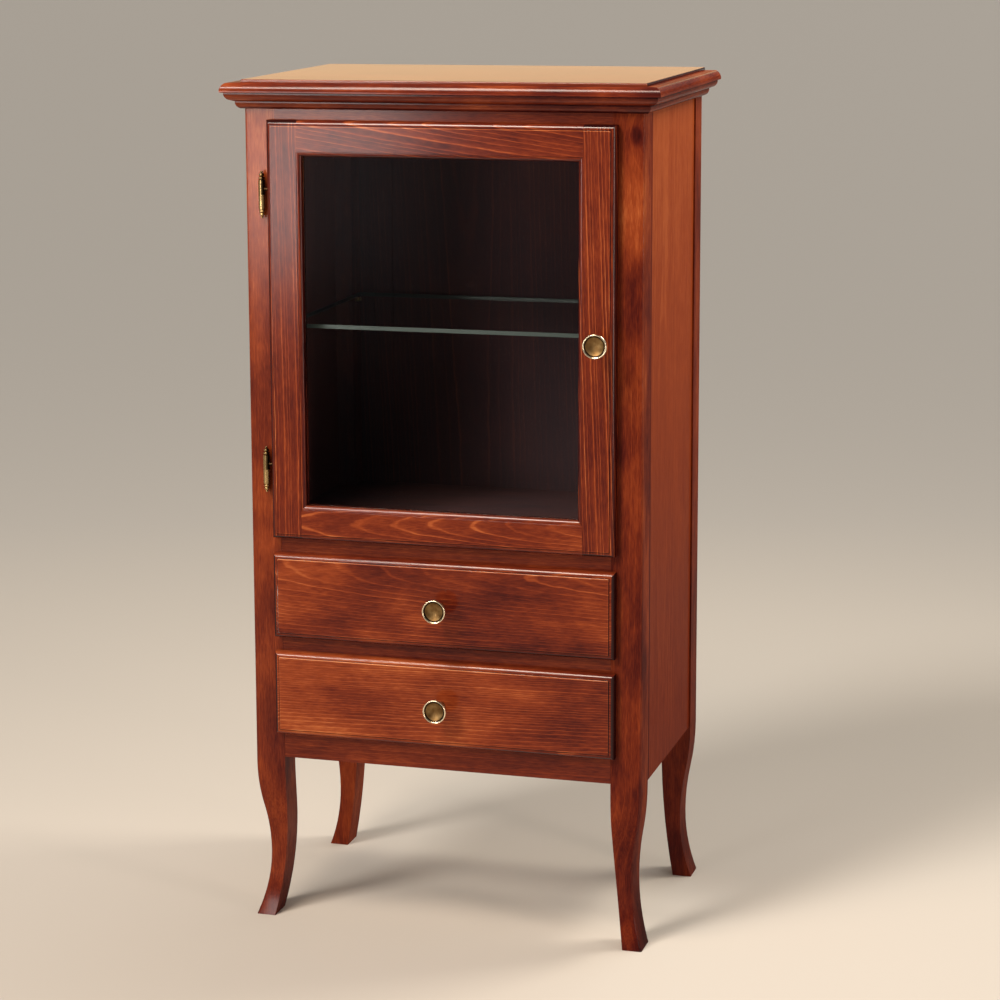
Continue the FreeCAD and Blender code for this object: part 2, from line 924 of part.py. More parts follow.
def hinge_stile(frame):
    """The left stile with the holes for the hinges' stems."""
    holes = []
    for height in hinge_heights.values():
        start = vector(-front_half - overrun, hinge_y, height + hinge_stem_rise)
        depth = hinge_stem_depth + joint_end_space + overrun
        radius = hinge_stem_radius + hinge_running_clearance
        holes.append(rod(radius, depth, start, vector(1, 0, 0)))
    return cut_by(other_side(door_stile(frame)), holes)


def door_rail(frame, name):
    """A door rail with its two tenons."""
    low, high = door_rail_rooms[name]
    reach = front_half + overrun
    room = box(-reach, reach, front_face - overrun, front_back_face + overrun, low, high)
    body = cut_by(frame.common(room), [stile_region(), other_side(stile_region())])
    low, high = door_tenons[name]
    return fused([body, door_tenon(low, high, 0, 0)])


def door_glass():
    """The pane, which lies against the lip of the frame."""
    half = face_half - glass_edge_gap
    return box(-half, half, glass_front, glass_back,
               face_bottom + glass_edge_gap, face_top - glass_edge_gap)


def glazing_beads():
    """Four mitred beads that hold the pane in its rebate."""
    def place(x, z):
        return vector(x, glass_back, z)

    outer_half = face_half - bead_gap
    low = face_bottom + bead_gap
    high = face_top - bead_gap
    outer = [(-outer_half, low), (outer_half, low), (outer_half, high), (-outer_half, high)]
    inner = [(-sight_half, sight_bottom), (sight_half, sight_bottom),
             (sight_half, sight_top), (-sight_half, sight_top)]
    beads = []
    for corner in range(len(outer)):
        following = (corner + 1) % len(outer)
        steps = [outer[following], inner[following], inner[corner]]
        face = face_of(place, outer[corner], steps)
        beads.append(face.extrude(vector(0, front_back_face - glass_back, 0)))
    return beads


# Hinges

def finial(base, axis):
    """The turned end of a hinge's barrel."""
    steps = scaled_steps(finial_shares, hinge_barrel_radius, finial_length)
    steps = [(hinge_barrel_radius, 0)] + steps
    return turned(steps, finial_crown_share * finial_length, base, axis)


def knuckle(height, up, stem_start, stem_way, stem_length):
    """Half of a hinge: its barrel, finial and stem, bored for the pin."""
    axis = vector(0, 0, up)
    split = vector(hinge_x, hinge_y, height) + axis * (hinge_split_gap / 2)
    length = (hinge_barrel_length - hinge_split_gap) / 2
    barrel = rod(hinge_barrel_radius, length, split, axis)
    stem = rod(hinge_stem_radius, stem_length, stem_start, stem_way)
    body = fused([barrel, finial(split + axis * length, axis), stem])
    bore = rod(hinge_pin_radius + hinge_running_clearance,
               hinge_pin_length / 2 + overrun,
               split - axis * overrun, axis)
    return body.cut(bore)


def frame_knuckle(height):
    """The lower half of a hinge, with its stem in the post."""
    start = vector(hinge_x, hinge_y, height - hinge_stem_rise)
    return knuckle(height, -1, start, vector(0, 1, 0), hinge_axis_offset + hinge_stem_depth)


def door_knuckle(height):
    """The upper half of a hinge, with its stem in the door's edge."""
    start = vector(hinge_x, hinge_y, height + hinge_stem_rise)
    return knuckle(height, 1, start, vector(1, 0, 0), hinge_side_gap + hinge_stem_depth)


def hinge_pin(height):
    """The pin that stands in the lower half and carries the upper one."""
    low = height - hinge_split_gap / 2 - hinge_pin_length / 2
    return rod(hinge_pin_radius, hinge_pin_length, vector(hinge_x, hinge_y, low),
               vector(0, 0, 1))


# Knobs

def knob_screw(x, z):
    """A knob's screw, with its head behind the front."""
    start = vector(x, front_back_face, z)
    shank = rod(knob_screw_radius, front_thickness + knob_screw_bite, start, vector(0, -1, 0))
    head = rod(knob_screw_head_radius, knob_screw_head_height, start, vector(0, 1, 0))
    return fused([shank, head])


def knob(x, z):
    """A dished knob, bored for its screw."""
    base = vector(x, front_face, z)
    axis = vector(0, -1, 0)
    steps = scaled_steps((knob_base_shares,) + knob_shares, knob_radius, knob_reach)
    body = turned(steps, knob_dish_share * knob_reach, base, axis)
    bore = rod(knob_screw_radius + knob_screw_clearance, knob_screw_bite + joint_end_space,
               base, axis)
    return body.cut(bore)


# Drawers

def box_side(floor, head):
    """The left side of a drawer box, grooved for its bottom and housed for its back."""
    low = floor + running_gap
    side = box(-box_half, -box_half + box_side_thickness,
               front_back_face - front_housing_depth, box_back_end,
               low, head - side_headroom)
    inner = -box_half + box_side_thickness
    groove = box(inner - box_bottom_groove - joint_end_space, inner + overrun,
                 front_back_face - front_housing_depth - overrun, box_back_end + overrun,
                 low + box_bottom_rise, low + box_bottom_rise + box_bottom_thickness)
    housing = box(inner - back_housing_depth, inner + overrun,
                  box_back_end - box_back_thickness, box_back_end + overrun,
                  low + box_bottom_rise + box_bottom_thickness, head)
    return cut_by(side, [groove, housing])


def box_back(floor, head):
    """The back of a drawer box, which stands on its bottom."""
    half = box_half - box_side_thickness + back_housing_depth
    inner = box_half - box_side_thickness
    low = floor + running_gap + box_bottom_rise + box_bottom_thickness
    back = box(-half, half, box_back_end - box_back_thickness, box_back_end,
               low, head - side_headroom)
    raised = box(-inner, inner, box_back_end - box_back_thickness, box_back_end,
                 low, head - back_headroom)
    return fused([back, raised])


def box_bottom(floor):
    """The bottom of a drawer box, in grooves in its sides and its front."""
    half = box_half - box_side_thickness + box_bottom_groove
    low = floor + running_gap + box_bottom_rise
    return box(-half, half, front_back_face - box_bottom_groove, box_back_end,
               low, low + box_bottom_thickness)


def drawer_front(floor, head):
    """A drawer's moulded front, housed for the sides and grooved for the bottom."""
    low = floor + running_gap
    front = moulded_board(floor - lip_overlay, head + lip_overlay)
    housing = box(-box_half, -box_half + box_side_thickness,
                  front_back_face - front_housing_depth, front_back_face + overrun,
                  low, head - side_headroom)
    half = box_half - box_side_thickness + box_bottom_groove
    groove = box(-half, half,
                 front_back_face - box_bottom_groove, front_back_face + overrun,
                 low + box_bottom_rise, low + box_bottom_rise + box_bottom_thickness)
    cutters = [housing, other_side(housing), groove, knob_hole(0, (floor + head) / 2)]
    return cut_by(front, cutters)


def drawer(name, floor, head):
    """All the pieces of one drawer, by their names."""
    middle = (floor + head) / 2
    side = box_side(floor, head)
    return {
        name + "_front": drawer_front(floor, head),
        name + "_left_side": side,
        name + "_right_side": other_side(side),
        name + "_back": box_back(floor, head),
        name + "_bottom": box_bottom(floor),
        name + "_knob": knob(0, middle),
        name + "_knob_screw": knob_screw(0, middle),
    }


# The whole cupboard

def carcass_pieces():
    """The standing part, without hardware."""
    front = front_post()
    rear = rear_post()
    pieces = {
        "front_left_leg": cut_by(front, [frame_stem_hole(h) for h in hinge_heights.values()]),
        "front_right_leg": other_side(front),
        "rear_left_leg": rear,
        "rear_right_leg": other_side(rear),
        "left_side_panel": side_panel(),
        "right_side_panel": other_side(side_panel()),
        "back_panel": back_panel(),
        "top_panel": top_panel(),
        "cornice_front": cornice_front(),
        "cornice_left": cornice_left(),
        "cornice_right": other_side(cornice_left()),
        "cupboard_floor": cupboard_floor(),
        "left_floor_bearer": floor_bearer(),
        "right_floor_bearer": other_side(floor_bearer()),
    }
    for name, (low, high) in front_rails.items():
        pieces[name] = rail(low, high, 0)
    for name, (low, high) in rear_rails.items():
        screws = [small_screw(*s) for s in back_screws]
        pieces[name] = cut_by(rail(low, high, rear_rail_front), screws)
    dowel_hole = rail_dowel_hole(rail_thickness / 2)
    catch_holes = [small_screw(*s) for s in catch_screws]
    pieces["frieze_rail"] = cut_by(pieces["frieze_rail"], [dowel_hole] + catch_holes)
    pieces["middle_rail"] = pieces["middle_rail"].cut(floor_groove())
    rear_hole = rail_dowel_hole(rear_rail_front + rail_thickness / 2)
    pieces["rear_top_rail"] = pieces["rear_top_rail"].cut(rear_hole)
    upper = runner(upper_floor, lower_head)
    lower = runner(lower_floor, lower_floor - runner_thickness)
    pieces["left_upper_runner"] = upper
    pieces["right_upper_runner"] = other_side(upper)
    pieces["left_lower_runner"] = lower
    pieces["right_lower_runner"] = other_side(lower)
    return pieces


def carcass_hardware():
    """What is fixed to the standing part. A list is a group of separate solids."""
    left_screws = [wood_screw(*s) for s in side_screws]
    pins = [shelf_pin(False), shelf_pin(True)]
    return {
        "top_dowels": top_dowels(),
        "glass_shelf": glass_shelf(),
        "shelf_pins": pins + [other_side(pin) for pin in pins],
        "drawer_stops": [drawer_stop(upper_head), drawer_stop(lower_head)],
        "door_catch": door_catch(),
        "upper_hinge_frame_knuckle": frame_knuckle(hinge_heights["upper"]),
        "lower_hinge_frame_knuckle": frame_knuckle(hinge_heights["lower"]),
        "hinge_pins": [hinge_pin(height) for height in hinge_heights.values()],
        "runner_screws": left_screws + [other_side(screw) for screw in left_screws],
        "small_screws": [small_screw(*s) for s in back_screws + catch_screws],
    }


def door_pieces():
    """The door and what swings with it."""
    frame = door_frame()
    x = door_knob_x()
    z = door_knob_height()
    return {
        "door_hinge_stile": hinge_stile(frame),
        "door_knob_stile": knob_stile(frame),
        "door_top_rail": door_rail(frame, "door_top_rail").cut(strike_plate()),
        "door_bottom_rail": door_rail(frame, "door_bottom_rail"),
        "door_glass": door_glass(),
        "glazing_beads": glazing_beads(),
        "door_strike_plate": strike_plate(),
        "upper_hinge_door_knuckle": door_knuckle(hinge_heights["upper"]),
        "lower_hinge_door_knuckle": door_knuckle(hinge_heights["lower"]),
        "door_knob": knob(x, z),
        "door_knob_screw": knob_screw(x, z),
    }


def save(name, shape):
    """Writes one piece, or one group of separate solids, in its place."""
    if isinstance(shape, list):
        shape = Part.makeCompound(shape)
    placed = shape.copy()
    placed.translate(vector(0, -origin_depth, 0))
    placed.exportStep(os.path.join("parts", name + ".step"))


os.makedirs("parts", exist_ok=True)
all_pieces = {}
all_pieces.update(carcass_pieces())
all_pieces.update(carcass_hardware())
all_pieces.update(door_pieces())
all_pieces.update(drawer("upper_drawer", upper_floor, upper_head))
all_pieces.update(drawer("lower_drawer", lower_floor, lower_head))
for piece_name, piece_shape in all_pieces.items():
    save(piece_name, piece_shape)
print("pieces", len(all_pieces), "drawer travel", drawer_travel, "origin depth", origin_depth)
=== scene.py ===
import json
import math

import bpy
from mathutils import Euler, Matrix, Vector


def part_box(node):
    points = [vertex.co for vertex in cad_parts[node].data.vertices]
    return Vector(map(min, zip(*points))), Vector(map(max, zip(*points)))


# A glazed cupboard in stained softwood, seen from its right front and a little above.
# Lengths are in metres, in the frame's own axes: X to the right, Y to the back, Z up.
# A slope is one part of a surface's normal: 1 where it faces that axis, -1 where it faces away.

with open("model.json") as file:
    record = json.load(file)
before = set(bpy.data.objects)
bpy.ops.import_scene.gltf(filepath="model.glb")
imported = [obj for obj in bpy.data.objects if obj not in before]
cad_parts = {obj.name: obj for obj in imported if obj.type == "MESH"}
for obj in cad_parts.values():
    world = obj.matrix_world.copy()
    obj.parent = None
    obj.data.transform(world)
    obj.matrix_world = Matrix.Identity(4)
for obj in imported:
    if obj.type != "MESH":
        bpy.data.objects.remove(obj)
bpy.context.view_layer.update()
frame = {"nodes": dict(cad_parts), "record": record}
scene = bpy.context.scene

# The camera
camera_place = (1.20996, -4.18798, 1.53967)
camera_yaw = 0.307386
camera_pitch = 0.180940
camera_roll = -0.0092693
camera_lens = 104.832
camera_sensor = 36.0
camera_shift = (0.1, -0.07)
camera_clip_end = 100.0

# The room
floor_reach = 70.0
floor_colour = (0.60, 0.55, 0.485)
floor_roughness = 0.8
floor_gloss = 0.2
world_colour = (0.94, 0.96, 1.0)
world_strength = 0.14

# Suns: the place that they shine from, and how many degrees wide they are
suns = {
    "key": dict(place=(-2.5, -4.0, 3.6), strength=1.65, spread=16, colour=(1.0, 0.95, 0.88)),
    "fill": dict(place=(2.4, 4.2, 3.6), strength=1.1, spread=60, colour=(1.0, 0.96, 0.92)),
}

# Soft boxes: their place, what they are turned to, and the cone that their light keeps
# within, in degrees, where it isn't open
soft_boxes = {
    "overhead": dict(place=(-0.5, -1.35, 2.9), target=(-0.3, -1.0, 0), size=(0.8, 1.0),
                     watts=52, colour=(1, 0.85, 0.71)),
    "left_window": dict(place=(-1.35, -3.0, 0.92), target=(-0.2, 0, 0.9), size=(0.8, 0.6),
                        watts=9, colour=(1, 0.94, 0.91), cone=120),
    "right_strip": dict(place=(2.6, -1.2, 0.95), target=(0.3, 0, 0.75), size=(0.4, 1.3),
                        watts=6, colour=(1, 0.86, 0.76), cone=100),
    "right_high": dict(place=(1.25, 0.75, 2.35), target=(0.33, 0, 0.9), size=(0.6, 0.6),
                       watts=27, colour=(1, 0.92, 0.80)),
    "warm_back": dict(place=(-0.75, 2.5, 1.6), target=(0, 0, 1.3), size=(2.2, 0.6),
                      watts=3.9, colour=(1, 0.74, 0.36)),
}
open_cone = 180

# The edges of sawn pieces
weld_distance = 0.00002
sharp_angle = math.radians(32)
eased_edge = 0.0005
post_edge = 0.0009
eased_segments = 2

# The noises in the wood: counts to the metre across the log, twice, and along it, and the
# detail of each. The first three move the wood, each by up to its reach
wood_noises = {
    "bend": ((2.6, 2.6, 0.9), 1.0),
    "ripple": ((16.0, 16.0, 3.4), 2.0),
    "shiver": ((70.0, 70.0, 34.0), 1.0),
    "ragged": ((120.0, 120.0, 50.0), 2.0),
    "fading": ((11.0, 11.0, 5.0), 2.0),
    "fibre": ((1000.0, 1000.0, 75.0), 3.0),
    "streak": ((120.0, 120.0, 2.8), 2.0),
    "cloud": ((15.0, 15.0, 6.0), 4.0),
    "mottle": ((110.0, 110.0, 34.0), 4.0),
}
warp_reaches = {"bend": 0.016, "ripple": 0.0028, "shiver": 0.0007}
noise_mean = 0.5

# The rings: their width, how dark each is from its inner side to its outer side, how uneven
# their widths are, and how pale the weakest are and the most faded stretches
ring_width = 0.0062
ring_profile = ((0.0, 0.10), (0.10, 0.0), (0.62, 0.12), (0.78, 0.28), (0.87, 1.0),
                (0.94, 0.9), (1.0, 0.10))
uneven_scale = 55.0
uneven_detail = 1.0
uneven_rings = 2.4
weakest_ring = 0.5
faded_ring = 0.5
fading_range = (0.34, 0.56)

# Knots: how far round them and how much they push the rings, and their dark core and halo
no_knot = (9.0, 9.0, 9.0)
knot_along_share = 0.62
knot_spread = 0.020
knot_push = 0.020
knot_radius = 0.0070
knot_core_shares = (1.8, 0.3)
knot_ragged = 0.012
knot_halo = 0.042
knot_halo_share = 0.65
bell_exponent = -0.5

# Where on its ramp plain wood lies, and how far along the ramp each thing moves it. A share
# below 0 makes the wood darker
plain_tone = 0.35
figure_shares = {"Fibre": 0.44, "Streak": 0.12, "Mottle": 0.26}
knot_share = -0.24
end_grain_share = -0.62
# The next five shares paint light and shade: shade beside the front post and in the cornice's
# recesses, a highlight on the fronts' worn line, and shade in the quirk and on a front's sides
# and underside
post_shade_share = -0.30
recess_shade_share = -0.20
worn_highlight_share = 0.40
quirk_shade_share = -0.30
edge_shade_share = -0.20

# The slopes between which end grain sets in, and those between which painted shade
# darkens the sides and underside of a front's edge
end_grain_slopes = (0.30, 0.80)
sideways_shade_slopes = (0.15, 0.50)
downward_shade_slopes = (-0.25, -0.60)

# How far the painted shade on the side panels reaches from the front post, and where the
# cornice steps back and is darkened by painted shade: at which shares of its height and over
# how much of it
post_shade_reach = 0.005
cornice_shaded_recesses = ((0.0, 0.10), (0.29, 0.06), (0.61, 0.05))
recess_shade_core_share = 0.5

# The fronts' moulded edge: its width, and the widths of the worn line along the face, partly
# real wear and partly painted highlight, and of the painted shade in the quirk beside it. The
# line is fainter away from the upper edge, where the painted highlight lies
moulding_width = 0.0080
face_slack = 0.0002
worn_highlight_width = 0.0012
worn_highlight_core_share = 0.6
worn_away_from_highlight_share = 0.35
highlight_edge_shares = (1.5, 1.2)
quirk_shade_width = 0.0010
quirk_shade_edge_share = 1.4
beyond_any_edge = 1.0

# The inside of the carcass: how far painted shade darkens it, and the shade's colour
inside_shade = 0.75
inside_shade_colour = (0.0500, 0.0400, 0.0470)
inside_slack = 0.0004

# The lacquer: its gloss on rounded edges, the slopes between which it thins out, and how
# much of it is left on the edges that face the sides
edge_coat = 1.0
round_slope = 0.88
flat_slope = 0.95
upright_slopes = (0.3, 0.8)
upright_coat_share = 0.35
coat_roughness = 0.16
wood_ior = 1.5
bare_wood_gloss = 0.0
fibre_roughness = 0.16
ring_relief_share = 0.35
wood_relief = 0.0002

# Colours of the stain and of plain pine from the darkest to the lightest, with their places
# on the ramp
stain_ramp = (
    (0.00, (0.022, 0.0030, 0.0028)),
    (0.20, (0.066, 0.0080, 0.0050)),
    (0.40, (0.145, 0.0205, 0.0070)),
    (0.58, (0.245, 0.0430, 0.0110)),
    (0.78, (0.400, 0.0980, 0.0270)),
    (1.00, (0.620, 0.2200, 0.0750)),
)
pine_ramp = (
    (0.00, (0.230, 0.1150, 0.0450)),
    (0.40, (0.470, 0.2850, 0.1350)),
    (0.70, (0.620, 0.4200, 0.2300)),
    (1.00, (0.740, 0.5500, 0.3400)),
)

# Glass
glass_clear = (0.965, 0.985, 0.975, 1)
glass_mirror = (0.95, 0.90, 1, 1)
glass_mirror_roughness = 0.18
glass_mirror_share = 0.02
glass_ior = 1.35
glass_rim = 0.0002
# The rims behind and at the sides are painted dark as shade
glass_rim_painted_shade = (0.006, 0.009, 0.008)
glass_rim_roughness = 0.4
glass_front_rims = {
    "door_glass": (0.03, 0.05, 0.045),
    "glass_shelf": (0.030, 0.042, 0.038),
}

# Hinges and pins: antiqued brass, with the shares of the radius between which it brightens
brass_dark = (0.030, 0.016, 0.007)
brass_bright = (0.50, 0.34, 0.15)
brass_crest_shares = (0.60, 0.98)
brass_patches = 420.0
brass_patch_detail = 3.0
brass_patch_range = (0.3, 0.7)
brass_wear = 0.0022
brass_roughness = (0.34, 0.22)

# Knobs: a dish, a dark groove and a bright rim, by their shares of the radius
dish_ramp = (
    (0.30, (0.13, 0.066, 0.022)),
    (0.50, (0.19, 0.108, 0.040)),
    (0.70, (0.28, 0.175, 0.072)),
)
dish_patches = 110.0
dish_patch_detail = 2.0
dish_roughness = 0.42
patch_roughness = 0.08
groove_colour = (0.02, 0.011, 0.006)
groove_inner_shares = (0.730, 0.765)
groove_outer_shares = (0.880, 0.850)
rim_colour = (0.95, 0.82, 0.58)
rim_shares = (0.855, 0.880)
rim_roughness = 0.14
turning_pitch = 0.0007
turning_bump = 0.12
turning_relief = 0.00005
knob_front_share = 0.28

# Zinc-plated steel
steel_ramp = ((0.3, (0.42, 0.42, 0.44)), (0.7, (0.62, 0.61, 0.60)))
steel_patches = 900.0
steel_patch_detail = 2.0
steel_patch_range = (0.3, 0.7)
steel_roughness = (0.42, 0.28)

# Moulded dark brown plastic
plastic_ramp = ((0.3, (0.022, 0.011, 0.008)), (0.7, (0.034, 0.018, 0.013)))
plastic_grains = 1800.0
plastic_grain_detail = 2.0
plastic_bump = 0.2
plastic_relief = 0.0001
plastic_roughness = 0.45

# Stained pieces: the grain's axis, the pith's distance across and behind the piece, the
# lean of the grain, and what differs from the usual wood
straight = (0.130, 0.050)
slanted = (0.090, 0.085)
plain_sawn = (0.012, 0.110)
# painted_light_drift paints light and shade along a piece's grain
leg = dict(grain="Z", clouds=0.9, lines=0.10, coat=0.12, painted_light_drift=0.10, rounded_coat=0.5)
side_board = dict(grain="Z", pith=(0.16, 0.05), tone=0.16, contrast=0.5, coat=0.11,
                  clouds=0.3, lines=0.22, painted_light_drift=0.30, corner_shade=True)
dark_rail = dict(grain="X", pith=slanted, tone=-0.04, lines=0.18)
stained = {
    "front_left_leg": dict(leg, pith=(0.11, 0.06), lean=(0.004, 0.008), tone=0.11, painted_light_drift=0.17,
                           coat=0.26),
    "front_right_leg": dict(leg, pith=(0.05, 0.09), lean=(0.010, -0.008), tone=-0.04,
                            knot=(0.2888, -0.1704, 1.2059), clouds=1.1, painted_light_drift=0.24,
                            painted_side_light=0.07),
    "rear_left_leg": dict(leg, pith=straight, lean=(0.004, 0.004), tone=0.08),
    "rear_right_leg": dict(leg, pith=straight, lean=(0.004, -0.003), tone=0.0, painted_light_drift=0.16),
    "left_side_panel": dict(side_board, lean=(0.003, 0.003)),
    "right_side_panel": dict(side_board, lean=(0.003, -0.002)),
    "top_panel": dict(grain="X", pith=(0.10, 0.10), lean=(0.004, 0.004), tone=0.14,
                      contrast=0.6, coat=0.9, clouds=0.4, lines=0.16),
    "cornice_front": dict(dark_rail, lean=(0.006, 0.004), tone=-0.01, clouds=1.0, painted_light_drift=-0.32,
                          rounded_coat=0.6, shaded_recesses=cornice_shaded_recesses),
    "cornice_left": dict(dark_rail, grain="Y", lean=(0.005, 0.003), tone=-0.02,
                         shaded_recesses=cornice_shaded_recesses),
    "cornice_right": dict(dark_rail, grain="Y", lean=(0.003, 0.005), tone=0.04, coat=0.2,
                          shaded_recesses=cornice_shaded_recesses),
    "cupboard_floor": dict(dark_rail, pith=plain_sawn, lean=(0.004, 0.002)),
    "frieze_rail": dict(dark_rail, lean=(0.004, 0.006), tone=0.05),
    "middle_rail": dict(dark_rail, lean=(0.004, 0.004), tone=-0.01),
    "drawer_rail": dict(dark_rail, lean=(0.002, 0.005)),
    "bottom_rail": dict(dark_rail, lean=(0.003, 0.006), tone=-0.03),
    "rear_top_rail": dict(dark_rail, lean=(0.003, 0.006)),
    "rear_middle_rail": dict(dark_rail, lean=(0.003, 0.002)),
    "rear_bottom_rail": dict(dark_rail, lean=(0.002, 0.004)),
    "door_hinge_stile": dict(grain="Z", pith=straight, lean=(0.003, 0.010), tone=-0.04),
    "door_knob_stile": dict(grain="Z", pith=straight, lean=(0.002, 0.024), tone=-0.03,
                            lines=0.58, clouds=0.4),
    "door_top_rail": dict(grain="X", pith=(0.080, 0.060), lean=(0.030, -0.130), tone=-0.04,
                          lines=0.42),
    "door_bottom_rail": dict(grain="X", pith=(0.012, 0.060), lean=(0.050, 0.030), tone=0.0,
                             rings=0.0036, lines=0.36),
    "upper_drawer_front": dict(grain="X", pith=(0.060, 0.085), lean=(0.030, 0.014), tone=0.04,
                               rings=0.0036, clouds=1.0, lines=0.32, painted_light_drift=-0.14),
    "lower_drawer_front": dict(grain="X", pith=(-0.090, 0.085), lean=(0.020, 0.008), tone=0.10,
                               rings=0.0032, clouds=0.8, lines=0.34, painted_light_drift=-0.50),
    "glazing_beads": dict(grain="Z", pith=straight, lean=(0.002, 0.002), tone=-0.15),
}
inner_wood = dict(pith=plain_sawn, lean=(0.008, 0.010), roughness=0.55, contrast=0.8)
back_board = dict(grain="Z", pith=(0.06, 0.11), lean=(0.01, 0.03), seed=0.7, tone=-0.10,
                  contrast=0.8, roughness=0.6, coat=0.0, lines=0.40)

# How far apart the pieces' places in the log are, and the pieces with a side to the inside,
# which gets painted shade
seed_step = 1.37
carcass_inside = ("front_left_leg", "front_right_leg", "rear_left_leg", "rear_right_leg",
                  "left_side_panel", "right_side_panel", "cupboard_floor", "rear_top_rail",
                  "frieze_rail")

# How the log lies for grain along each axis
grain_turns = {
    "X": Euler((0, -math.pi / 2, 0)),
    "Y": Euler((math.pi / 2, 0, 0)),
    "Z": Euler((0, 0, 0)),
}


def put(tree, kind, inputs=None, **settings):
    """Adds a node. Each input is given a number, a colour or another node's output."""
    made = tree.nodes.new(kind)
    for key, value in settings.items():
        setattr(made, key, value)
    for key, value in (inputs or {}).items():
        if isinstance(value, bpy.types.NodeSocket):
            tree.links.new(value, made.inputs[key])
        else:
            made.inputs[key].default_value = value
    return made


def calc(tree, operation, *values):
    """One step of arithmetic, and its result."""
    return put(tree, "ShaderNodeMath", dict(enumerate(values)), operation=operation).outputs[0]


def added(tree, total, value, share):
    """A total with a share of a value added to it."""
    return calc(tree, "MULTIPLY_ADD", value, share, total)


def vector_calc(tree, operation, *values, output="Vector"):
    """One step of arithmetic with places or directions, and its result."""
    made = put(tree, "ShaderNodeVectorMath", dict(enumerate(values)), operation=operation)
    return made.outputs[output]


def split(tree, vector):
    """The three parts of a place or a direction."""
    return put(tree, "ShaderNodeSeparateXYZ", {0: vector}).outputs


def rest_place(tree):
    """Each point's place in the frame, at rest."""
    return put(tree, "ShaderNodeTexCoord").outputs["Object"]


def rest_normal(tree):
    """Each point's normal in the frame, at rest."""
    return put(tree, "ShaderNodeTexCoord").outputs["Normal"]


def slopes(tree):
    """How far each point faces each axis, one way or the other."""
    return split(tree, vector_calc(tree, "ABSOLUTE", rest_normal(tree)))


def noise(tree, place, scales, detail, output="Fac"):
    """Noise with a size of its own along each axis. The scales are counts to the metre."""
    made = put(tree, "ShaderNodeTexNoise",
               {"Vector": vector_calc(tree, "MULTIPLY", place, scales), "Scale": 1.0,
                "Detail": detail})
    return made.outputs[output]


def wood_noise(tree, place, name, output="Fac"):
    """One of the wood's own noises."""
    scales, detail = wood_noises[name]
    return noise(tree, place, scales, detail, output)


def remap(tree, value, low, high, to_low=0.0, to_high=1.0):
    """A value moved smoothly from one range to another, and held inside it."""
    made = put(tree, "ShaderNodeMapRange",
               {"Value": value, "From Min": low, "From Max": high,
                "To Min": to_low, "To Max": to_high}, interpolation_type="SMOOTHSTEP")
    return made.outputs["Result"]


def ramp(tree, value, stops):
    """A colour ramp through the stops given."""
    made = put(tree, "ShaderNodeValToRGB", {"Fac": value})
    elements = made.color_ramp.elements
    # A new stop starts halfway, and then takes its own place
    halfway = 0.5
    while len(elements) < len(stops):
        elements.new(halfway)
    for element, (position, colour) in zip(elements, stops):
        element.position = position
        element.color = (*colour, 1)
    return made.outputs["Color"]


def mixed(tree, share, first, second):
    """A colour between two others. Either may be a node's output."""
    ends = [end if isinstance(end, bpy.types.NodeSocket) else (*end, 1)
            for end in (first, second)]
    made = put(tree, "ShaderNodeMix", {"Factor": share, 6: ends[0], 7: ends[1]},
               data_type="RGBA")
    return made.outputs[2]


def new_material(name):
    """An empty material with its node tree and its shader."""
    material = bpy.data.materials.new(name)
    material.use_nodes = True
    tree = material.node_tree
    return material, tree, tree.nodes["Principled BSDF"]


def warped(tree, place):
    """A place in a log that is never straight."""
    moved = place
    for name, reach in warp_reaches.items():
        waver = vector_calc(tree, "SUBTRACT", wood_noise(tree, place, name, "Color"),
                            (noise_mean,) * 3)
        waver = vector_calc(tree, "MULTIPLY", waver, (2 * reach,) * 3)
        moved = vector_calc(tree, "ADD", waver, moved)
    return moved


def knot_distance(tree, place, knot):
    """The distance from a knot, which is ragged and longer along the grain."""
    away = vector_calc(tree, "SUBTRACT", place, knot)
    away = vector_calc(tree, "MULTIPLY", away, (1, 1, knot_along_share))
    distance = vector_calc(tree, "LENGTH", away, output="Value")
    ragged = calc(tree, "SUBTRACT", wood_noise(tree, place, "ragged"), noise_mean)
    return added(tree, distance, ragged, knot_ragged)


def knot_swell(tree, distance):
    """How much of its push a knot still has at a distance."""
    near = calc(tree, "DIVIDE", distance, knot_spread)
    squared = calc(tree, "MULTIPLY", near, near)
    return calc(tree, "POWER", math.e, calc(tree, "MULTIPLY", squared, bell_exponent))


def late_wood(tree, place, swell, width):
    """Rings of uneven width and strength, each dark at its outer side."""
    parts = split(tree, warped(tree, place))
    flat = put(tree, "ShaderNodeCombineXYZ", {0: parts[0], 1: parts[1]}).outputs[0]
    radius = vector_calc(tree, "LENGTH", flat, output="Value")
    radius = added(tree, radius, swell, knot_push)
    uneven = put(tree, "ShaderNodeTexNoise",
                 {"W": radius, "Scale": uneven_scale, "Detail": uneven_detail},
                 noise_dimensions="1D").outputs["Fac"]
    count = calc(tree, "ADD", calc(tree, "DIVIDE", radius, width),
                 calc(tree, "MULTIPLY", uneven, uneven_rings))
    line = ramp(tree, calc(tree, "FRACT", count),
                [(at, (dark,) * 3) for at, dark in ring_profile])
    strength = put(tree, "ShaderNodeTexWhiteNoise", {"W": calc(tree, "FLOOR", count)},
                   noise_dimensions="1D").outputs["Value"]
    strength = remap(tree, strength, 0.0, 1.0, weakest_ring, 1.0)
    fading = remap(tree, wood_noise(tree, place, "fading"), *fading_range, faded_ring, 1.0)
    return calc(tree, "MULTIPLY", calc(tree, "MULTIPLY", line, strength), fading)


